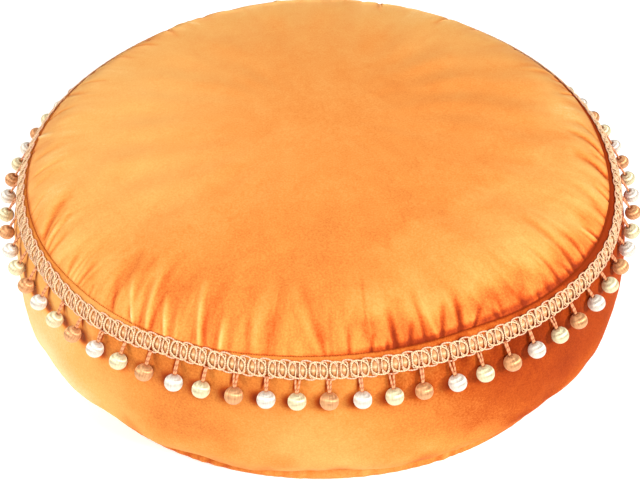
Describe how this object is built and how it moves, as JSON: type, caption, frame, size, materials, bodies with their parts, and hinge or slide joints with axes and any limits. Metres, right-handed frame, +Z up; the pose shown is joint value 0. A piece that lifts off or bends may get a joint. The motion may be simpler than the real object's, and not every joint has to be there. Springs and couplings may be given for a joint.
{
  "type": "floor pouf",
  "caption": "Round velvet floor pouf: a stuffed drum with a crowned, puckered top, a bulging wall and a gathered foot roll, and a looped braid of hanging beads under the top seam.",
  "frame": {"origin": "centre of the pouf's underside, on the floor", "axes": "+Z up; -Y towards the viewer of the picture; +X to the viewer's right"},
  "size_m": [0.527, 0.517, 0.165],
  "materials": {
    "orange_velvet": "short-pile velvet with a soft sheen",
    "woven_braid": "satin cord and thread-wound beads in cream, copper, white and pink"
  },
  "bodies": {
    "root": {"pouf_body": "orange_velvet", "bead_trim": "woven_braid"}
  },
  "joints": []
}
